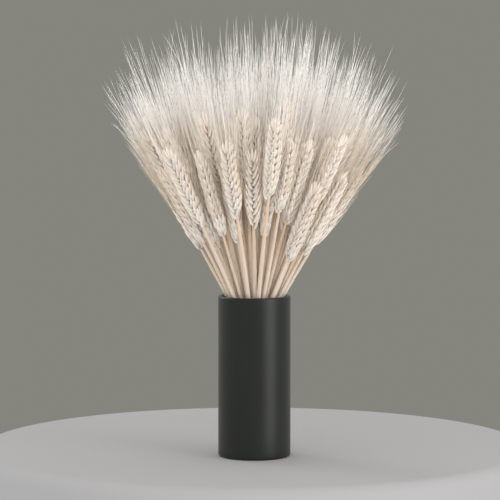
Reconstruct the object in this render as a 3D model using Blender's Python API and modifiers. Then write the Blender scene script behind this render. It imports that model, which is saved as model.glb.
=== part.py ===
"""Bleached bearded wheat in a plain cylinder vase.

Each stalk is one solid: a stem that stands on the vase's floor, bends out at the mouth and ends in an ear.
The ear has two rows of spikelets, and every spikelet runs out into a long awn.
Metres, +Z up, origin at the middle of the vase's underside.
"""

import math
import random

import bmesh
import bpy
from mathutils import Vector

# The vase
VASE_DIAMETER = 0.070
VASE_HEIGHT = 0.156
VASE_WALL = 0.004
VASE_FLOOR = 0.007
VASE_RIM_ROUND = 0.0018
VASE_FOOT_ROUND = 0.0026
VASE_INNER_ROUND = 0.003
VASE_STEPS = 48
ARC_POINTS = 3

# The bunch: its outer radius against the height above the mouth, which every stem follows in proportion
STALK_COUNT = 59
GOLDEN_ANGLE = math.pi * (3 - math.sqrt(5))
MOUTH_RADIUS = 0.0285
BEND_HEIGHT = 0.030
MOUTH_SLOPE = 0.60
SLOPE_GAIN = 0.60
FAN_CENTRE_DEPTH = MOUTH_RADIUS / MOUTH_SLOPE
SEAT_GAP = 0.0003

# The stems: half a side of their square section
STEM_LOW = 0.00150
STEM_MOUTH = 0.00175
STEM_MIDDLE = 0.00160
STEM_NECK = 0.00095

# The ears
EAR_REACH_MAX = 0.152
EAR_REACH_DROP = 0.009
EAR_REACH_SPAN = 0.050
EAR_REACH_STEP = 0.2113
INNER_LOWERED = 0.65
FRONT_LIFT = 0.030
EAR_LENGTH = 0.084
EAR_LEVELS = 5
EAR_TIP = 0.012
TIP_BELLY_UP = 0.0108
TIP_BELLY_HALF = (0.0017, 0.0021)
TIP_NECK_UP = 0.0200
RACHIS_HALF_WIDTH = 0.0007
RACHIS_HALF_DEPTH = 0.0012
SWAY = 0.0028
NOD = 0.25

# One spikelet, from the foot of its face on the rachis: (out from the rachis, up along the ear)
BELLY_OUTER = (0.0055, 0.0082)
BELLY_INNER = (0.0029, 0.0164)
BELLY_HALF_WIDTH = 0.0049
NECK = (0.0066, 0.0207)
NECK_HALF = 0.0004
NECK_SHIFT = 0.0019
AWN_LENGTH_LOW = 0.100
AWN_LENGTH_HIGH = 0.082
AWN_SPREAD_LOW = 0.115
AWN_SPREAD_HIGH = 0.08
AWN_FAN = 0.06

SEED = 679


def clear_scene():
    for obj in list(bpy.data.objects):
        bpy.data.objects.remove(obj)


def make_material(name, colour, roughness):
    material = bpy.data.materials.new(name)
    material.use_nodes = True
    shader = material.node_tree.nodes["Principled BSDF"]
    shader.inputs["Base Color"].default_value = (*colour, 1)
    shader.inputs["Roughness"].default_value = roughness
    shader.inputs["Metallic"].default_value = 0
    return material


def arc(centre, radius, start, end):
    """Points of a quarter round in the X-Z plane, between two angles in degrees from +X towards +Z."""
    angles = [math.radians(start + (end - start) * i / (ARC_POINTS - 1)) for i in range(ARC_POINTS)]
    return [(centre[0] + radius * math.cos(a), centre[1] + radius * math.sin(a)) for a in angles]


def vase_profile():
    """The wall's outline from the middle of the floor, up the inside, over the rim and down the outside."""
    outer = VASE_DIAMETER / 2
    inner = outer - VASE_WALL
    rim = VASE_HEIGHT - VASE_RIM_ROUND
    points = [(0, VASE_FLOOR)]
    points += arc((inner - VASE_INNER_ROUND, VASE_FLOOR + VASE_INNER_ROUND), VASE_INNER_ROUND, -90, 0)
    points += arc((inner + VASE_RIM_ROUND, rim), VASE_RIM_ROUND, 180, 90)
    points += arc((outer - VASE_RIM_ROUND, rim), VASE_RIM_ROUND, 90, 0)
    points += arc((outer - VASE_FOOT_ROUND, VASE_FOOT_ROUND), VASE_FOOT_ROUND, 0, -90)
    points.append((0, 0))
    return points


def make_vase(collection, material):
    points = [(x, 0, z) for x, z in vase_profile()]
    mesh = bpy.data.meshes.new("vase")
    mesh.from_pydata(points, [(i, i + 1) for i in range(len(points) - 1)], [])
    vase = bpy.data.objects.new("vase", mesh)
    collection.objects.link(vase)
    vase.data.materials.append(material)
    screw = vase.modifiers.new("turn", "SCREW")
    screw.axis = "Z"
    screw.angle = math.tau
    screw.steps = VASE_STEPS
    screw.render_steps = VASE_STEPS
    screw.use_merge_vertices = True
    screw.merge_threshold = 0.00001
    screw.use_smooth_shade = True
    return vase


def bunch_radius(height):
    """Outer radius of the bunch at a height above the mouth.

    The bunch is straight low in the vase, bends out up to the mouth and a little more above it.
    """
    if height > 0:
        return MOUTH_RADIUS + MOUTH_SLOPE * height + SLOPE_GAIN * height**2 / 2
    short = MOUTH_RADIUS - MOUTH_SLOPE * BEND_HEIGHT / 2
    return short + MOUTH_SLOPE * max(0, height + BEND_HEIGHT) ** 2 / (2 * BEND_HEIGHT)


class Stalk:
    """Where one stalk runs, and how its ear is turned."""

    def __init__(self, index, draw):
        turn = index * GOLDEN_ANGLE
        self.share = math.sqrt((index + 0.5) / STALK_COUNT)
        self.outward = Vector((math.cos(turn), math.sin(turn), 0))
        sway = turn + draw.uniform(0, math.tau)
        self.sway = Vector((math.cos(sway), math.sin(sway), 0)) * SWAY * draw.uniform(0.3, 1)
        self.spin = draw.uniform(0, math.tau)
        self.nod_turn = draw.uniform(0, math.tau)
        self.nod = NOD * draw.uniform(0.2, 1)
        self.size = draw.uniform(0.94, 1.06)
        lowered = index * EAR_REACH_STEP % 1 * (INNER_LOWERED + (1 - INNER_LOWERED) * self.share)
        lift = FRONT_LIFT * self.share * max(0, -self.outward.y) * (1 - lowered)
        reach = EAR_REACH_MAX - EAR_REACH_DROP * self.share**2 - EAR_REACH_SPAN * lowered + lift
        slope = MOUTH_SLOPE * self.share
        self.ear_height = reach / math.sqrt(1 + slope**2) - FAN_CENTRE_DEPTH
        self.set_ear_frame()

    def stem_point(self, height):
        """The stem's middle at a height above the mouth."""
        point = self.outward * self.share * bunch_radius(height) + Vector((0, 0, VASE_HEIGHT + height))
        return point + self.sway * (max(0, height) / 0.1) ** 2

    def set_ear_frame(self):
        step = 0.001
        self.ear_base = self.stem_point(self.ear_height)
        self.along = (self.ear_base - self.stem_point(self.ear_height - step)).normalized()
        across = self.along.cross(self.outward).normalized()
        level = across.cross(self.along)
        self.side = level * math.cos(self.spin) + across * math.sin(self.spin)
        self.face = self.along.cross(self.side)
        self.bow = level * math.cos(self.nod_turn) + across * math.sin(self.nod_turn)

    def ear_point(self, out, wide, up):
        """A point of the ear: out towards its side, wide across its face and up along its bowed middle."""
        middle = self.ear_base + self.along * up + self.bow * (self.nod * up**2 / 2)
        return middle + self.side * out + self.face * wide


def square(centre, side, face, half_side, half_face):
    """Four corners around a centre, in the order that every section of a stalk keeps."""
    corners = ((1, -1), (1, 1), (-1, 1), (-1, -1))
    return [centre + side * half_side * a + face * half_face * b for a, b in corners]


def stem_sections(stalk):
    """Square sections of the stem from its cut end on the vase's floor to a little below the ear."""
    foot = VASE_FLOOR + SEAT_GAP - VASE_HEIGHT
    spots = [
        (foot, STEM_LOW),
        (-BEND_HEIGHT, STEM_LOW),
        (-0.4 * BEND_HEIGHT, STEM_LOW),
        (0.1 * BEND_HEIGHT, STEM_MOUTH),
        (0.55 * stalk.ear_height, STEM_MIDDLE),
    ]
    across = Vector((0, 0, 1)).cross(stalk.outward)
    side = stalk.outward * math.cos(stalk.spin) + across * math.sin(stalk.spin)
    face = Vector((0, 0, 1)).cross(side)
    return [square(stalk.stem_point(height), side, face, half, half) for height, half in spots]


def ear_sections(stalk):
    """Sections of the ear's rachis. Its second side stands half a level higher, so the two rows alternate."""
    pitch = level_pitch(stalk)
    sections = []
    for level in range(EAR_LEVELS + 1):
        half = STEM_NECK if level == 0 else RACHIS_HALF_WIDTH
        low, high = level * pitch, (level + 0.5) * pitch
        deep = RACHIS_HALF_DEPTH
        sections.append(
            [
                stalk.ear_point(half, -deep, low),
                stalk.ear_point(half, deep, low),
                stalk.ear_point(-half, deep, high),
                stalk.ear_point(-half, -deep, high),
            ]
        )
    return sections


def level_pitch(stalk):
    return stalk.size * (EAR_LENGTH - EAR_TIP) / (EAR_LEVELS + 0.5)


def loft(bm, sections):
    """One closed body through sections of four corners.

    Returns its side faces, section by section, and its top face.
    """
    rings = [[bm.verts.new(corner) for corner in section] for section in sections]
    walls = [
        [bm.faces.new((low[i], low[(i + 1) % 4], high[(i + 1) % 4], high[i])) for i in range(4)]
        for low, high in zip(rings, rings[1:])
    ]
    bm.faces.new(reversed(rings[0]))
    return walls, bm.faces.new(rings[-1])


def draw_out(bm, face, sections, point):
    """Extrudes a face of four corners through more sections and gathers the last one in a point."""
    for section in sections:
        face = bmesh.ops.extrude_discrete_faces(bm, faces=[face])["faces"][0]
        for vert, corner in zip(face.verts, section):
            vert.co = corner
    bmesh.ops.poke(bm, faces=[face])["verts"][0].co = point


def grow_spikelet(bm, stalk, face, sign, level, draw):
    """Draws a face of the rachis out into a spikelet with its awn."""
    pitch = level_pitch(stalk)
    along = (level + (0.5 if sign < 0 else 0)) / EAR_LEVELS
    fullness = stalk.size * (0.9 + 0.4 * along * (1 - along) - 0.12 * along)
    foot = along * EAR_LEVELS * pitch

    def place(spot, wide):
        out = RACHIS_HALF_WIDTH + spot[0] * fullness
        return stalk.ear_point(sign * out, sign * wide, foot + spot[1] * stalk.size)

    def ring(outer, inner, low, high):
        return [place(outer, low), place(outer, high), place(inner, high), place(inner, low)]

    wide = BELLY_HALF_WIDTH * fullness
    belly = ring(BELLY_OUTER, BELLY_INNER, -wide, wide)
    lean = 1 if (level + (sign < 0)) % 2 else -1
    shift = lean * NECK_SHIFT
    outer, inner = (NECK[0] + NECK_HALF, NECK[1]), (NECK[0] - NECK_HALF, NECK[1])
    neck = ring(outer, inner, shift - NECK_HALF, shift + NECK_HALF)
    length = AWN_LENGTH_LOW + (AWN_LENGTH_HIGH - AWN_LENGTH_LOW) * along
    length *= draw.uniform(0.93, 1.07)
    spread = AWN_SPREAD_LOW + (AWN_SPREAD_HIGH - AWN_SPREAD_LOW) * along
    spread *= draw.uniform(0.9, 1.1)
    fan = lean * AWN_FAN * draw.uniform(0.4, 1.3)
    tip = place((NECK[0] + spread * length, NECK[1] + length), shift + fan * length)
    draw_out(bm, face, [belly, neck], tip)


def grow_ear_tip(bm, stalk, face, draw):
    """Draws the top of the rachis out into the last spikelet with its awn."""
    top = EAR_LEVELS * level_pitch(stalk)
    axis = stalk.side, stalk.face
    belly_up, neck_up = top + TIP_BELLY_UP * stalk.size, top + TIP_NECK_UP * stalk.size
    belly = square(stalk.ear_point(0, 0, belly_up), *axis, *TIP_BELLY_HALF)
    neck = square(stalk.ear_point(0, 0, neck_up), *axis, NECK_HALF, NECK_HALF)
    length = AWN_LENGTH_HIGH * draw.uniform(0.93, 1.07)
    lean = AWN_FAN * length
    tip = stalk.ear_point(draw.uniform(-lean, lean), draw.uniform(-lean, lean), neck_up + length)
    draw_out(bm, face, [belly, neck], tip)


def make_stalk(index, collection, material):
    draw = random.Random(SEED * 1000 + index)
    stalk = Stalk(index, draw)
    bm = bmesh.new()
    stem = stem_sections(stalk)
    walls, top = loft(bm, stem + ear_sections(stalk))
    for level, wall in enumerate(walls[len(stem) :]):
        grow_spikelet(bm, stalk, wall[0], 1, level, draw)
        grow_spikelet(bm, stalk, wall[2], -1, level, draw)
    grow_ear_tip(bm, stalk, top, draw)
    mesh = bpy.data.meshes.new(f"wheat_stalk_{index + 1:02d}")
    bm.to_mesh(mesh)
    bm.free()
    obj = bpy.data.objects.new(mesh.name, mesh)
    obj.data.materials.append(material)
    collection.objects.link(obj)
    return obj


def main():
    clear_scene()
    collection = bpy.data.collections.new("dried_wheat_in_vase")
    bpy.context.scene.collection.children.link(collection)
    glaze = make_material("dark_satin_glaze", (0.033, 0.036, 0.032), 0.42)
    straw = make_material("bleached_straw", (0.76, 0.67, 0.56), 0.72)
    make_vase(collection, glaze)
    for index in range(STALK_COUNT):
        make_stalk(index, collection, straw)


main()
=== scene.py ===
"""Bleached bearded wheat in a dark cylinder vase.

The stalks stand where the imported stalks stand: the same rule gives each one its place, its bend and the
turn of its ear. Here each ear gets its glumes, lemmas and all its awns, each stem its round straw, and the
vase its glaze.
"""

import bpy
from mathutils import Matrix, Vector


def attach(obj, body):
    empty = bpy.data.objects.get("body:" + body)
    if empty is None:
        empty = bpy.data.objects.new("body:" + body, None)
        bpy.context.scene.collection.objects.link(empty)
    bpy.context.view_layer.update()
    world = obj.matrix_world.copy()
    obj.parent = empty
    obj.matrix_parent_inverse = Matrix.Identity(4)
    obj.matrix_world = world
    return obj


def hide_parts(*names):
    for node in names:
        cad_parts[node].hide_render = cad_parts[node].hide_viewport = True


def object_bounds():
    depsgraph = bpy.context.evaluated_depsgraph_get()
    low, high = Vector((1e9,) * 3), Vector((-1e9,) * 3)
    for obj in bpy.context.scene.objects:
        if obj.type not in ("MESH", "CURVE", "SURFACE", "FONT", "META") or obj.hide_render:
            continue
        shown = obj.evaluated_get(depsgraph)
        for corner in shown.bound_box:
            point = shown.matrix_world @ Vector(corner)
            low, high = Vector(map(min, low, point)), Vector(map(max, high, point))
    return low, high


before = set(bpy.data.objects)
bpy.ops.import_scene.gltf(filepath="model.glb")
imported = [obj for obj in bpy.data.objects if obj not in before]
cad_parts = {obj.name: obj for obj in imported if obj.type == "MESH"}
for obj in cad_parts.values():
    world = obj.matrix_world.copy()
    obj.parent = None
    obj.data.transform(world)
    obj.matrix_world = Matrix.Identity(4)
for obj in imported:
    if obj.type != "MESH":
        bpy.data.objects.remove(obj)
cad_box = [list(corner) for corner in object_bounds()]
ROOM_INSIDE = 0.0006

import math
import random

import bpy
import numpy as np

MM = 0.001

# The vase, as packed
VASE_RADIUS = 0.035
VASE_HEIGHT = 0.156
VASE_WALL = 0.004
VASE_FLOOR = 0.007
RIM_ROUND = 0.0018
FOOT_ROUND = 0.0026
INNER_ROUND = 0.003

# The bunch, as packed
STALK_COUNT = 59
GOLDEN_ANGLE = math.pi * (3 - math.sqrt(5))
MOUTH_RADIUS = 0.0285
BEND_HEIGHT = 0.030
MOUTH_SLOPE = 0.60
SLOPE_GAIN = 0.60
FAN_CENTRE_DEPTH = MOUTH_RADIUS / MOUTH_SLOPE
SEAT_GAP = 0.0003
EAR_REACH_MAX = 0.152
EAR_REACH_DROP = 0.009
EAR_REACH_SPAN = 0.050
EAR_REACH_STEP = 0.2113
INNER_LOWERED = 0.65
FRONT_LIFT = 0.030
EAR_BODY = 0.072
RACHIS_HALF_WIDTH = 0.0007
SWAY = 0.0028
NOD = 0.25
SEED = 679

# One ear
SPIKELETS_A_SIDE = 9
STEM_SIDES = 8
POD_SIDES = 7

# The awns: how high the long ones reach in the middle of the bunch and how much lower at its edge, the
# lengths they may have, how far they lean out at the foot and the tip of the ear and how far to its face,
# and how they turn upright
AWN_SIDES = 3
AWN_TOP = 0.406
AWN_DOME = 0.064
LONG_AWN = (0.040, 0.105)
SHORT_AWN = (0.012, 0.032)
LEAN_LOW, LEAN_HIGH = 0.110, 0.075
LEAN_WIDE = 0.065
AWN_RISE = 0.5

# How full the awns are: the share on a front ear, how many more stand beside each long one on a full ear,
# the tufts of an ear, and how its longest awns stand out in the middle of each
FRONT_BEARD, FULL_BEARD = 0.3, 0.6
AWN_FILL = 2
TUFTS = 4
TUFT_HEIGHT, TUFT_FALL = 0.032, 0.38

# The parts of a spikelet, in mm from its foot: base and tip as (out, wide, up), half width, half thickness
# and bulge
GLUMES = [
    ((-0.7, -1.9, -0.8), (3.9, -5.5, 11.2), 2.25, 1.70, 1.0),
    ((-0.7, 1.9, -0.8), (3.9, 5.5, 11.2), 2.25, 1.70, 1.0),
]
LEMMAS = [
    ((-0.2, -1.4, 0.6), (5.9, -4.4, 15.6), 2.40, 1.95, 0.9),
    ((-0.2, 1.4, 1.4), (5.9, 4.4, 16.4), 2.40, 1.95, 0.9),
    ((0.8, 0.0, 2.6), (7.6, 0.0, 18.0), 2.25, 1.80, 0.6),
]
TIP_LEMMAS = [
    ((0.7, 0.0, 0.0), (3.5, 0.5, 14.6), 1.85, 1.40, 0.8),
    ((-0.7, 0.0, 0.6), (-3.5, -0.5, 15.2), 1.85, 1.40, -0.8),
    ((0.0, 0.0, 1.6), (0.0, 0.0, 17.2), 1.60, 1.30, 0.0),
]


# Camera, light and floor

def put_camera():
    """At the photograph's height and angle, with the vase's axis a little right of the middle."""
    lens = bpy.data.cameras.new("view")
    camera = bpy.data.objects.new("view", lens)
    bpy.context.scene.collection.objects.link(camera)
    camera.location = (-0.0042, -2.5, 0.3878)
    camera.rotation_euler = (math.radians(90 - 4.3), 0, 0)
    lens.sensor_width = 36
    lens.lens = 187.2
    bpy.context.scene.camera = camera


def put_light(name, azimuth, elevation, distance, width, height, power, colour, mirrored=True):
    """A soft rectangle that faces the bunch. Azimuth 0 stands where the camera does and 90 on the right."""
    light = bpy.data.lights.new(name, "AREA")
    light.shape = "RECTANGLE"
    light.size, light.size_y = width, height
    light.energy, light.color = power, colour
    lamp = bpy.data.objects.new(name, light)
    bpy.context.scene.collection.objects.link(lamp)
    a, e = math.radians(azimuth), math.radians(elevation)
    away = np.array([math.sin(a) * math.cos(e), -math.cos(a) * math.cos(e), math.sin(e)])
    lamp.location = away * distance + np.array([0, 0, 0.2])
    lamp.rotation_euler = (math.pi / 2 - e, 0, a)
    lamp.visible_glossy = mirrored


def light_room():
    """Grey wall behind, a bright room round the bunch, a dimmer one in the glaze, and three soft lights."""
    world = bpy.data.worlds.new("grey_room")
    world.use_nodes = True
    tree = world.node_tree
    background = tree.nodes["Background"]
    ray = tree.nodes.new("ShaderNodeLightPath")
    room = add(tree, "ShaderNodeMix", "room", (-400, 0), data_type="RGBA")
    room.inputs["A"].default_value = (1.08, 1.06, 1.03, 1)
    room.inputs["B"].default_value = (0.48, 0.48, 0.46, 1)
    wall = add(tree, "ShaderNodeMix", "wall", (-200, 0), data_type="RGBA")
    wall.inputs["B"].default_value = (0.235, 0.235, 0.210, 1)
    tree.links.new(ray.outputs["Is Glossy Ray"], room.inputs["Factor"])
    tree.links.new(room.outputs["Result"], wall.inputs["A"])
    tree.links.new(ray.outputs["Is Camera Ray"], wall.inputs["Factor"])
    tree.links.new(wall.outputs["Result"], background.inputs["Color"])
    bpy.context.scene.world = world
    put_light("right_window", 52, 12, 2.0, 1.1, 1.8, 16, (1.0, 0.985, 0.965))
    put_light("left_window", -128, 28, 2.0, 0.8, 1.4, 8, (0.97, 0.98, 1.0))
    put_light("front_fill", -8, 10, 3.2, 2.4, 1.8, 20, (1.0, 0.99, 0.975), mirrored=False)


# Surfaces

def skin(centres, across, over, start, end, sides):
    """Closed skins round rows of centres.

    Each ring is centre + across * cos(a) + over * sin(a) for equal steps of a, and one point closes each
    end. The arrays are rows by rings by 3. Returns points, quads, triangles, and for each point
    (cos a, sin a, share of the way along).
    """
    rows, rings = centres.shape[:2]
    a = np.arange(sides) * 2 * np.pi / sides
    cos, sin = np.cos(a)[:, None], np.sin(a)[:, None]
    ring = centres[:, :, None] + across[:, :, None] * cos + over[:, :, None] * sin
    points = np.concatenate([start[:, None], ring.reshape(rows, -1, 3), end[:, None]], axis=1)
    count = rings * sides + 2
    i, j = np.meshgrid(np.arange(rings - 1), np.arange(sides), indexing="ij")
    low, turn = 1 + i * sides, (j + 1) % sides
    quads = np.stack([low + j, low + turn, low + sides + turn, low + sides + j], axis=-1).reshape(-1, 4)
    j = np.arange(sides)
    turn = (j + 1) % sides
    last = 1 + (rings - 1) * sides
    foot = np.stack([np.zeros(sides, int), 1 + turn, 1 + j], axis=-1)
    top = np.stack([np.full(sides, count - 1), last + j, last + turn], axis=-1)
    shift = (np.arange(rows) * count)[:, None, None]
    quads = (quads[None] + shift).reshape(-1, 4)
    tris = (np.concatenate([foot, top])[None] + shift).reshape(-1, 3)
    along = np.repeat(np.linspace(0, 1, rings), sides)
    around = np.stack([np.tile(np.cos(a), rings), np.tile(np.sin(a), rings), along], axis=-1)
    fibre = np.concatenate([[[0, 0, 0]], around, [[0, 0, 1]]])
    return points.reshape(-1, 3), quads, tris, np.tile(fibre, (rows, 1))


def unit(v):
    return v / np.maximum(np.linalg.norm(v, axis=-1, keepdims=True), 1e-12)


def cross_frame(centres, hint):
    """Two unit directions square to each row of centres, the first as near the hint as can be."""
    ahead = unit(np.gradient(centres, axis=1))
    over = unit(np.cross(ahead, hint))
    return np.cross(over, ahead), over


def make_piece(name, parts, materials):
    """One mesh object from several parts, each with the material at the same place in its list.

    A part is its points, quads and triangles, and for each point its fibre, its tone and its painted shade.
    """
    points, faces, slots, fibre, tone, painted_shade, start = [], [], [], [], [], [], 0
    for slot, (p, quads, tris, f, t, s) in enumerate(parts):
        points.append(p)
        faces += (quads + start).tolist() + (tris + start).tolist()
        slots.append(np.full(len(quads) + len(tris), slot))
        fibre.append(f)
        tone.append(t)
        painted_shade.append(s)
        start += len(p)
    mesh = bpy.data.meshes.new(name)
    mesh.from_pydata(np.concatenate(points), [], faces)
    mesh.polygons.foreach_set("material_index", np.concatenate(slots).astype(np.int32))
    mesh.shade_smooth()
    mesh.attributes.new("fibre", "FLOAT_VECTOR", "POINT").data.foreach_set(
        "vector", np.concatenate(fibre).astype(np.float32).ravel()
    )
    # The second attribute is painted shade: how far each point's straw colour is darkened where shade falls
    # among the stalks.
    for label, values in (("tone", tone), ("painted_shade", painted_shade)):
        mesh.attributes.new(label, "FLOAT", "POINT").data.foreach_set(
            "value", np.concatenate(values).astype(np.float32)
        )
    for material in materials:
        mesh.materials.append(material)
    piece = bpy.data.objects.new(name, mesh)
    bpy.context.scene.collection.objects.link(piece)
    return piece


# One stalk

def bunch_radius(height):
    """The bunch's outer radius at heights above the mouth.

    Straight in the vase, bent out up to the mouth, then radius = mouth radius + slope * h + gain * h^2 / 2.
    """
    above = np.maximum(height, 0)
    bend = np.clip(height + BEND_HEIGHT, 0, BEND_HEIGHT)
    inside = MOUTH_RADIUS - MOUTH_SLOPE * BEND_HEIGHT / 2 + MOUTH_SLOPE * bend**2 / (2 * BEND_HEIGHT)
    return inside + MOUTH_SLOPE * above + SLOPE_GAIN * above**2 / 2


class Stalk:
    """Where one stalk runs and how its ear is turned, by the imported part's rule."""

    def __init__(self, index):
        draw = random.Random(SEED * 1000 + index)
        turn = index * GOLDEN_ANGLE
        self.share = math.sqrt((index + 0.5) / STALK_COUNT)
        self.outward = np.array([math.cos(turn), math.sin(turn), 0])
        sway = turn + draw.uniform(0, math.tau)
        self.sway = np.array([math.cos(sway), math.sin(sway), 0]) * SWAY * draw.uniform(0.3, 1)
        self.spin = draw.uniform(0, math.tau)
        nod_turn = draw.uniform(0, math.tau)
        self.nod = NOD * draw.uniform(0.2, 1)
        self.size = draw.uniform(0.94, 1.06)
        front = self.share * max(0, -self.outward[1])
        lowered = index * EAR_REACH_STEP % 1 * (INNER_LOWERED + (1 - INNER_LOWERED) * self.share)
        reach = EAR_REACH_MAX - EAR_REACH_DROP * self.share**2 - EAR_REACH_SPAN * lowered
        reach += FRONT_LIFT * front * (1 - lowered)
        self.ear_height = reach / math.sqrt(1 + (MOUTH_SLOPE * self.share) ** 2) - FAN_CENTRE_DEPTH
        ends = self.stem_points(np.array([self.ear_height - 0.001, self.ear_height]))
        self.ear_base = ends[1]
        self.along = unit(ends[1] - ends[0])
        across = unit(np.cross(self.along, self.outward))
        level = np.cross(across, self.along)
        self.side = level * math.cos(self.spin) + across * math.sin(self.spin)
        self.face = np.cross(self.along, self.side)
        self.bow = level * math.cos(nod_turn) + across * math.sin(nod_turn)
        ahead = -self.share * self.outward[1]
        self.bearded = np.interp(ahead, [-0.15, 0.35], [1, FRONT_BEARD]) * (1 - 0.4 * lowered)

    def stem_points(self, height):
        """The stem's middle at heights above the mouth: the bunch's radius times this share, and a sway."""
        height = np.asarray(height, float)
        out = self.outward * (self.share * bunch_radius(height))[:, None]
        sway = self.sway * ((np.maximum(height, 0) / 0.1) ** 2)[:, None]
        return out + sway + np.array([0, 0, 1]) * (VASE_HEIGHT + height)[:, None]

    def ear_points(self, spots):
        """Points of the ear from (out, wide, up).

        They are base + side * out + face * wide + along * up + bow * nod * up^2 / 2.
        """
        out, wide, up = spots[..., 0:1], spots[..., 1:2], spots[..., 2:3]
        upright = self.ear_base + self.side * out + self.face * wide + self.along * up
        return upright + self.bow * (self.nod * up**2 / 2)


def stem_skin(stalk, rng):
    """A round straw from the vase's floor up through the ear, thinner at the ear and slightly uneven."""
    foot = VASE_FLOOR + SEAT_GAP - VASE_HEIGHT
    low = np.linspace(foot, -BEND_HEIGHT, 4)[:-1]
    height = np.concatenate([low, np.linspace(-BEND_HEIGHT, stalk.ear_height, 22)])
    up = np.linspace(0, EAR_BODY * stalk.size, 8)[1:]
    ear = stalk.ear_points(np.stack([0 * up, 0 * up, up], axis=-1))
    centres = np.concatenate([stalk.stem_points(height), ear])[None]
    radius = np.interp(
        np.concatenate([height, stalk.ear_height + up]),
        [foot, -BEND_HEIGHT, 0, 0.5 * stalk.ear_height, stalk.ear_height, stalk.ear_height + EAR_BODY],
        [1.75 * MM, 1.8 * MM, 2.1 * MM, 2.0 * MM, 1.4 * MM, 0.6 * MM],
    )[None]
    radius = radius * (1 + 0.03 * rng.standard_normal(radius.shape))
    across, over = cross_frame(centres, stalk.side)
    across_size = across * radius[..., None]
    over_size = over * radius[..., None] * rng.uniform(0.86, 1.0)
    points, quads, tris, fibre = skin(
        centres, across_size, over_size, centres[:, 0], centres[:, -1], STEM_SIDES
    )
    # Painted shade: the straw darkens above the mouth where the ears crowd over it, and more on the inner
    # stalks.
    deep = 0.6 - 0.2 * stalk.share
    painted_shade = np.interp(points[:, 2], [VASE_HEIGHT + 0.02, VASE_HEIGHT + 0.08], [0, deep])
    return points, quads, tris, fibre, np.full(len(points), rng.uniform(0, 1)), painted_shade


def pod_rows(stalk, rng):
    """Every glume and lemma of the ear: its base, tip, bulge, half width and half thickness, in metres.

    Spikelets stand in two rows, the second half a step higher, and are fullest below the middle of the ear.
    Also returns each one's awn (0 none, 1 short, 2 long), its share of the way up the ear, and the side of
    its row, -1 or 1, or 0 at the tip.
    """
    step = EAR_BODY / SPIKELETS_A_SIDE
    rows = []
    for k in range(2 * SPIKELETS_A_SIDE):
        sign = 1 if k % 2 == 0 else -1
        along = k / (2 * SPIKELETS_A_SIDE - 1)
        full = (0.92 + 0.42 * along * (1 - along) - 0.12 * along) * (0.82 if k < 2 else 1)
        foot = np.array([RACHIS_HALF_WIDTH, 0, k * step / 2])
        for kind, pods in enumerate((GLUMES, LEMMAS)):
            for base, tip, half, thick, bulge in pods:
                chance = stalk.bearded * np.interp(along, [0.1, 0.5] if kind else [0.4, 0.8], [0, 1])
                awn = 2 if rng.uniform() < chance else kind
                base, tip = np.array(base) * MM, np.array(tip) * MM
                ease = np.array([full, full, 0.9 + 0.1 * full])
                ends = np.stack([foot + base * ease, foot + tip * ease])
                ends[:, :2] *= sign
                sizes = sign * bulge * MM * full, half * MM * full, thick * MM * full
                rows.append((*ends, *sizes, awn, along, sign))
    for base, tip, half, thick, bulge in TIP_LEMMAS:
        foot = np.array([0, 0, EAR_BODY])
        ends = foot + np.array(base) * MM, foot + np.array(tip) * MM
        rows.append((*ends, bulge * MM, half * MM, thick * MM, 2, 1, 0))
    base, tip, bulge, half, thick, awn, along, sign = (np.array(x, float) for x in zip(*rows))
    tip = tip + rng.normal(0, 0.35 * MM, tip.shape)
    half = half * rng.uniform(0.9, 1.1, half.shape)
    scale = stalk.size
    return base * scale, tip * scale, bulge * scale, half * scale, thick * scale, awn, along, sign


def pod_skin(stalk, rows, rng):
    """Glumes and lemmas as keeled spindles.

    The middle line is base + (tip - base) * t, pushed out by bulge * sin(pi t). The half width is
    full * 2.1 * t^0.35 * (1 - t)^0.85, so that the belly is low and the tip is drawn out to a beak.
    """
    base, tip, bulge, half, thick, _, _, _ = rows
    t = np.array([0.05, 0.2, 0.4, 0.6, 0.78, 0.9])
    grow = 2.1 * t**0.35 * (1 - t) ** 0.85
    push = np.zeros((len(base), len(t), 3))
    push[..., 0] = bulge[:, None] * np.sin(np.pi * t)
    centres = base[:, None] + (tip - base)[:, None] * t[:, None] + push
    out = np.zeros_like(base)
    out[:, 0] = np.where(np.abs(base[:, 0]) > 1e-9, np.sign(base[:, 0]), 1)
    roll = rng.normal(0, 0.12, len(base))
    out[:, 1] = np.sin(roll) + np.sign(tip[:, 1]) * 0.35
    over, across = cross_frame(centres, out[:, None])
    across = -across
    over_size = (thick[:, None] * grow)[..., None]
    across_size = (half[:, None] * grow)[..., None]
    points, quads, tris, fibre = skin(
        centres + over * over_size * 0.1, across * across_size, over * over_size, base, tip, POD_SIDES
    )
    each = len(t) * POD_SIDES + 2
    tone = np.repeat(rng.uniform(0, 1, len(base)), each)
    # Painted shade: darker towards each husk's tip, and darker on the inner stalks of the bunch.
    painted_shade = np.interp(fibre[:, 2], [0, 0.5, 0.8, 1], [0, 0, 0.05, 0.3]) + 0.12 * (1 - stalk.share)
    return stalk.ear_points(points), quads, tris, fibre, tone, painted_shade


def share_inside(start, end):
    """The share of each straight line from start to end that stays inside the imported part's box."""
    low, high = np.array(cad_box[0]) + ROOM_INSIDE, np.array(cad_box[1]) - ROOM_INSIDE
    way = end - start
    room = np.where(way > 0, high - start, low - start)
    return np.clip(np.min(room / np.where(np.abs(way) > 1e-9, way, 1e-9), axis=-1), 0, 1)


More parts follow.
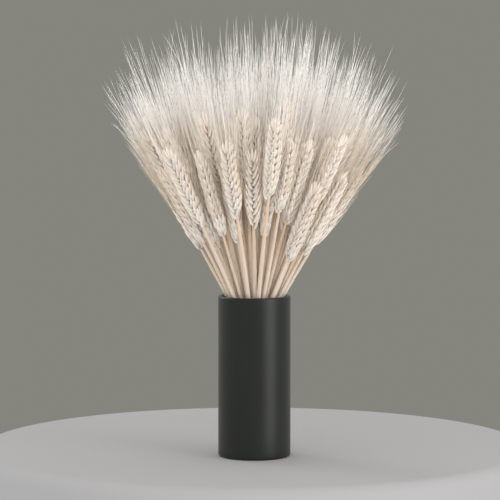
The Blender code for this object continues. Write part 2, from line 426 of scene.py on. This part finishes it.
def awn_skin(stalk, rows, rng):
    """Bristles from the tips of the husks that have awns. The long ones end on a low dome over the bunch.

    The middle line is root + length * (s * start + s^2 * (end - start) / 2), where start leans as the lemma
    does and end turns towards straight up and towards the rest of its tuft. The long ones are longest in
    the middle of a tuft. Each thins fast from the husk's tip, then slowly.
    """
    _, tip, _, _, _, awn, along, sign = rows
    fill = np.repeat(np.flatnonzero(awn > 1), AWN_FILL)
    fullness = np.interp(stalk.bearded, [FRONT_BEARD, FULL_BEARD], [0, 1])
    fill = fill[rng.uniform(0, 1, len(fill)) < fullness]
    awned = np.concatenate([np.flatnonzero(awn > 0), fill])
    tip, along, sign, short = tip[awned], along[awned], sign[awned], awn[awned] < 2
    count = len(tip)
    filling = np.arange(count) >= count - len(fill)
    spread = np.where(short, 2.0, np.where(filling, 1.4, 0.55 + 0.45 * fullness))
    lean = (LEAN_LOW + (LEAN_HIGH - LEAN_LOW) * along) * sign * spread
    wide = np.clip(tip[:, 1] / (4.4 * MM), -1, 1) * LEAN_WIDE * spread
    stray = np.where(rng.uniform(0, 1, count) < 0.06, 3.5, 1)
    start = np.stack([lean, wide, np.ones(count)], axis=-1) + rng.normal(0, 0.035, (count, 3)) * (1, 1, 0)
    tuft = rng.normal(0, 0.05, (TUFTS, 3))[rng.integers(0, TUFTS, count)]
    end = start * (0.3, 0.3, 1) + rng.normal(0, 0.065, (count, 3)) * stray[:, None] + tuft
    end += AWN_RISE * (1 - stalk.share**2) * np.array([stalk.side[2], stalk.face[2], 0])
    end[:, 2] = 1
    top = AWN_TOP - AWN_DOME * stalk.share**1.5 + rng.normal(0, 0.012) + rng.normal(0, 0.010, count)
    top -= np.where(filling, rng.uniform(0, 0.03, count), 0)
    top += TUFT_HEIGHT - TUFT_FALL * np.hypot(start[:, 0], start[:, 1])
    length = np.clip((top - stalk.ear_points(tip)[:, 2]) / stalk.along[2], *LONG_AWN)
    length = np.where(short, rng.uniform(*SHORT_AWN, count), length)
    root = tip - 1.2 * MM * unit(start)
    finish = root + length[:, None] * (start + end) / 2
    inside = share_inside(stalk.ear_points(root), stalk.ear_points(finish))
    length = length * np.where(inside < 1, inside * rng.uniform(0.75, 1, count), 1)
    finish = root + length[:, None] * (start + end) / 2

    s = np.array([0.0, 0.07, 0.2, 0.4, 0.65, 0.9])
    line = s[:, None] * start[:, None] + s[:, None] ** 2 * (end - start)[:, None] / 2
    centres = root[:, None] + length[:, None, None] * line
    radius = 0.18 * (1 - 0.35 * s) + 0.20 * np.exp(-s * length[:, None] / (5 * MM))
    radius = radius * MM * rng.uniform(0.8, 1.2, (count, 1))
    across, over = cross_frame(centres, np.array([0.0, 1.0, 0.0]))
    points, quads, tris, fibre = skin(
        centres, across * radius[..., None], over * radius[..., None], root, finish, AWN_SIDES
    )
    tone = np.repeat(rng.uniform(0, 1, count), len(s) * AWN_SIDES + 2)
    points = stalk.ear_points(points)
    # Painted shade: the awns darken below the top of the bunch, where they stand among the ears.
    painted_shade = np.interp(points[:, 2], [0.28, 0.34], [0.65, 0])
    return points, quads, tris, fibre, tone, painted_shade


def make_stalk(index, materials):
    stalk = Stalk(index)
    rng = np.random.default_rng(SEED * 1000 + index)
    rows = pod_rows(stalk, rng)
    parts = [stem_skin(stalk, rng), pod_skin(stalk, rows, rng), awn_skin(stalk, rows, rng)]
    piece = make_piece(f"bearded_wheat_{index + 1:02d}", parts, materials)
    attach(piece, "root")
    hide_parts(f"wheat_stalk_{index + 1:02d}")


# The vase

def round_corner(centre, radius, start, end, steps=7):
    """Points of a quarter round from one angle to another, in degrees from outwards towards up."""
    a = np.radians(np.linspace(start, end, steps))
    return np.stack([centre[0] + radius * np.cos(a), centre[1] + radius * np.sin(a)], axis=-1)


def make_vase(material):
    """The wall's outline turned about Z: up the inside, over the rim, down to the foot and under."""
    inner, rim = VASE_RADIUS - VASE_WALL, VASE_HEIGHT - RIM_ROUND
    inside = np.stack([np.full(10, inner), np.linspace(0.02, rim - 0.004, 10)], axis=-1)
    outside = np.stack([np.full(14, VASE_RADIUS), np.linspace(rim - 0.004, 0.008, 14)], axis=-1)
    outline = np.concatenate(
        [
            [(0.010, VASE_FLOOR), (0.022, VASE_FLOOR)],
            round_corner((inner - INNER_ROUND, VASE_FLOOR + INNER_ROUND), INNER_ROUND, -90, 0),
            inside,
            round_corner((inner + RIM_ROUND, rim), RIM_ROUND, 180, 90),
            round_corner((VASE_RADIUS - RIM_ROUND, rim), RIM_ROUND, 90, 0),
            outside,
            round_corner((VASE_RADIUS - FOOT_ROUND, FOOT_ROUND), FOOT_ROUND, 0, -90),
            [(0.022, 0), (0.010, 0)],
        ]
    )
    sides = 144
    centres = np.zeros((1, len(outline), 3))
    centres[0, :, 2] = outline[:, 1]
    across = np.zeros_like(centres)
    across[0, :, 0] = outline[:, 0]
    over = np.zeros_like(centres)
    over[0, :, 1] = -outline[:, 0]
    start, end = np.array([[0, 0, VASE_FLOOR]]), np.array([[0, 0, 0.0]])
    points, quads, tris, fibre = skin(centres, across, over, start, end, sides)
    plain = np.zeros((2, len(points)))
    piece = make_piece("cylinder_vase", [(points, quads, tris, fibre, *plain)], [material])
    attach(piece, "root")
    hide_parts("vase")


# Materials

def add(tree, kind, label, place, **values):
    """One node, with values for its properties or its input sockets by name."""
    node = tree.nodes.new(kind)
    node.label = label
    node.location = place
    for key, value in values.items():
        if hasattr(node, key):
            setattr(node, key, value)
        else:
            node.inputs[key.replace("_", " ")].default_value = value
    return node


def straw_group():
    """Dry straw: fibres along the piece, blotches over the bunch, and painted shade that deepens the
    colour.
    """
    tree = bpy.data.node_groups.new("dry_straw", "ShaderNodeTree")
    for name, kind in (
        ("Fibre", "NodeSocketVector"),
        ("Place", "NodeSocketVector"),
        ("Tone", "NodeSocketFloat"),
        ("Pale", "NodeSocketColor"),
        ("Deep", "NodeSocketColor"),
        ("Fineness", "NodeSocketFloat"),
        ("Painted Shade", "NodeSocketFloat"),
    ):
        tree.interface.new_socket(name, in_out="INPUT", socket_type=kind)
    for name, kind in (
        ("Colour", "NodeSocketColor"),
        ("Rough", "NodeSocketFloat"),
        ("Height", "NodeSocketFloat"),
    ):
        tree.interface.new_socket(name, in_out="OUTPUT", socket_type=kind)
    link = tree.links.new
    given = add(tree, "NodeGroupInput", "given", (-900, 0))
    result = add(tree, "NodeGroupOutput", "result", (700, 0))

    stretch = add(tree, "ShaderNodeVectorMath", "stretch along", (-700, 200), operation="MULTIPLY")
    stretch.inputs[1].default_value = (1, 1, 0.5)
    offset = add(tree, "ShaderNodeVectorMath", "own place", (-520, 200), operation="MULTIPLY_ADD")
    offset.inputs[1].default_value = (1, 1, 1)
    spread = add(tree, "ShaderNodeMath", "tone apart", (-700, 20), operation="MULTIPLY")
    spread.inputs[1].default_value = 37
    link(given.outputs["Fibre"], stretch.inputs[0])
    link(given.outputs["Tone"], spread.inputs[0])
    link(stretch.outputs[0], offset.inputs[0])
    link(spread.outputs[0], offset.inputs[2])
    fibres = add(tree, "ShaderNodeTexNoise", "fibres", (-340, 200), Detail=3, Roughness=0.6)
    link(offset.outputs[0], fibres.inputs["Vector"])
    link(given.outputs["Fineness"], fibres.inputs["Scale"])

    blotches = add(tree, "ShaderNodeTexNoise", "blotches", (-340, -60), Scale=55, Detail=2, Roughness=0.5)
    link(given.outputs["Place"], blotches.inputs["Vector"])

    streak = add(tree, "ShaderNodeMapRange", "streaks", (-120, 200))
    streak.inputs["From Min"].default_value, streak.inputs["From Max"].default_value = 0.35, 0.7
    streak.inputs["To Max"].default_value = 0.30
    link(fibres.outputs[0], streak.inputs["Value"])
    patch = add(tree, "ShaderNodeMapRange", "patches", (-120, -60))
    patch.inputs["From Min"].default_value, patch.inputs["From Max"].default_value = 0.4, 0.75
    patch.inputs["To Max"].default_value = 0.20
    link(blotches.outputs[0], patch.inputs["Value"])
    # Painted shade: each point's shade is added to its own tone here, pulling the straw towards its Deep
    # colour.
    own = add(tree, "ShaderNodeMath", "own tone and painted shade", (-120, -300), operation="MULTIPLY_ADD")
    own.inputs[1].default_value = 0.20
    link(given.outputs["Tone"], own.inputs[0])
    link(given.outputs["Painted Shade"], own.inputs[2])
    first = add(tree, "ShaderNodeMath", "sum", (60, 60), operation="ADD")
    second = add(tree, "ShaderNodeMath", "total", (220, 0), operation="ADD", use_clamp=True)
    link(streak.outputs[0], first.inputs[0])
    link(patch.outputs[0], first.inputs[1])
    link(first.outputs[0], second.inputs[0])
    link(own.outputs[0], second.inputs[1])

    mix = add(tree, "ShaderNodeMix", "straw colour", (420, 80), data_type="RGBA")
    link(second.outputs[0], mix.inputs["Factor"])
    link(given.outputs["Pale"], mix.inputs["A"])
    link(given.outputs["Deep"], mix.inputs["B"])
    rough = add(tree, "ShaderNodeMapRange", "dryness", (420, -160))
    rough.inputs["To Min"].default_value, rough.inputs["To Max"].default_value = 0.5, 0.8
    link(fibres.outputs[0], rough.inputs["Value"])
    link(mix.outputs["Result"], result.inputs["Colour"])
    link(rough.outputs[0], result.inputs["Rough"])
    link(fibres.outputs[0], result.inputs["Height"])
    return tree


def straw(name, group, pale, deep, fineness, bump):
    """One straw finish from the shared group."""
    material = bpy.data.materials.new(name)
    material.use_nodes = True
    tree = material.node_tree
    shader = tree.nodes["Principled BSDF"]
    shader.inputs["Specular IOR Level"].default_value = 0.3
    shader.inputs["Subsurface Weight"].default_value = 0.45
    shader.inputs["Subsurface Radius"].default_value = (1.0, 0.98, 0.96)
    shader.inputs["Subsurface Scale"].default_value = 0.003
    made = add(tree, "ShaderNodeGroup", "dry straw", (-300, 200))
    made.node_tree = group
    made.inputs["Pale"].default_value = (*pale, 1)
    made.inputs["Deep"].default_value = (*deep, 1)
    made.inputs["Fineness"].default_value = fineness
    fibre = add(tree, "ShaderNodeAttribute", "fibre", (-600, 260), attribute_name="fibre")
    tone = add(tree, "ShaderNodeAttribute", "tone", (-600, 80), attribute_name="tone")
    # Painted shade for each point, given by the parts of each stalk.
    painted_shade = add(tree, "ShaderNodeAttribute", "painted_shade", (-600, -100), attribute_name="painted_shade")
    place = add(tree, "ShaderNodeTexCoord", "place", (-600, -280))
    relief = add(tree, "ShaderNodeBump", "relief", (-100, -200), Distance=0.0003, Strength=bump)
    link = tree.links.new
    link(fibre.outputs["Vector"], made.inputs["Fibre"])
    link(tone.outputs["Fac"], made.inputs["Tone"])
    link(painted_shade.outputs["Fac"], made.inputs["Painted Shade"])
    link(place.outputs["Object"], made.inputs["Place"])
    link(made.outputs["Colour"], shader.inputs["Base Color"])
    link(made.outputs["Rough"], shader.inputs["Roughness"])
    link(made.outputs["Height"], relief.inputs["Height"])
    link(relief.outputs[0], shader.inputs["Normal"])
    return material


def satin_glaze():
    """Charcoal green glaze: faint clouds in its colour, a slightly uneven satin and a very fine grain."""
    material = bpy.data.materials.new("charcoal_satin_glaze")
    material.use_nodes = True
    tree = material.node_tree
    shader = tree.nodes["Principled BSDF"]
    shader.inputs["Specular IOR Level"].default_value = 0.55
    place = add(tree, "ShaderNodeTexCoord", "place", (-900, 0))
    clouds = add(tree, "ShaderNodeTexNoise", "clouds", (-700, 200), Scale=22, Detail=4, Roughness=0.55)
    grain = add(tree, "ShaderNodeTexNoise", "grain", (-700, -200), Scale=900, Detail=2, Roughness=0.5)
    tint = add(tree, "ShaderNodeMix", "glaze colour", (-400, 200), data_type="RGBA")
    tint.inputs["A"].default_value = (0.004, 0.006, 0.005, 1)
    tint.inputs["B"].default_value = (0.007, 0.010, 0.008, 1)
    satin = add(tree, "ShaderNodeMapRange", "satin", (-400, 0))
    satin.inputs["From Min"].default_value, satin.inputs["From Max"].default_value = 0.3, 0.7
    satin.inputs["To Min"].default_value, satin.inputs["To Max"].default_value = 0.36, 0.42
    relief = add(tree, "ShaderNodeBump", "relief", (-400, -250), Distance=0.0001, Strength=0.12)
    link = tree.links.new
    for node in (clouds, grain):
        link(place.outputs["Object"], node.inputs["Vector"])
    link(clouds.outputs[0], tint.inputs["Factor"])
    link(tint.outputs["Result"], shader.inputs["Base Color"])
    link(clouds.outputs[0], satin.inputs["Value"])
    link(satin.outputs[0], shader.inputs["Roughness"])
    link(grain.outputs[0], relief.inputs["Height"])
    link(relief.outputs[0], shader.inputs["Normal"])
    return material


def make_floor():
    """A round pale table top that the vase stands on."""
    material = bpy.data.materials.new("pale_floor")
    material.use_nodes = True
    shader = material.node_tree.nodes["Principled BSDF"]
    shader.inputs["Base Color"].default_value = (0.345, 0.345, 0.355, 1)
    shader.inputs["Roughness"].default_value = 0.9
    edge = round_corner((0.265, -0.015), 0.015, 90, 0, 6)
    outline = np.concatenate([edge, [(0.281, -0.06), (0.283, -0.20)]])
    radius, height = outline.T
    centres = np.zeros((1, len(outline), 3))
    centres[0, :, 1], centres[0, :, 2] = 0.078, height
    across, over = np.zeros_like(centres), np.zeros_like(centres)
    across[0, :, 0], over[0, :, 1] = radius, -radius
    points, quads, tris, fibre = skin(centres, across, over, centres[:, 0], centres[:, -1], 180)
    plain = np.zeros((2, len(points)))
    floor = make_piece("floor", [(points, quads, tris, fibre, *plain)], [material])


def main():
    put_camera()
    light_room()
    bpy.context.scene.view_settings.view_transform = "Standard"
    make_floor()
    make_vase(satin_glaze())
    group = straw_group()
    # The second colour of each straw is where both its darker tone and its painted shade lead.
    straws = [
        straw("stem_straw", group, (0.66, 0.585, 0.51), (0.61, 0.45, 0.32), 5, 0.35),
        straw("husk_straw", group, (0.79, 0.735, 0.68), (0.74, 0.63, 0.525), 3.5, 0.2),
        straw("awn_straw", group, (0.92, 0.935, 0.945), (0.82, 0.67, 0.50), 2, 0.0),
    ]
    for index in range(STALK_COUNT):
        make_stalk(index, straws)


main()
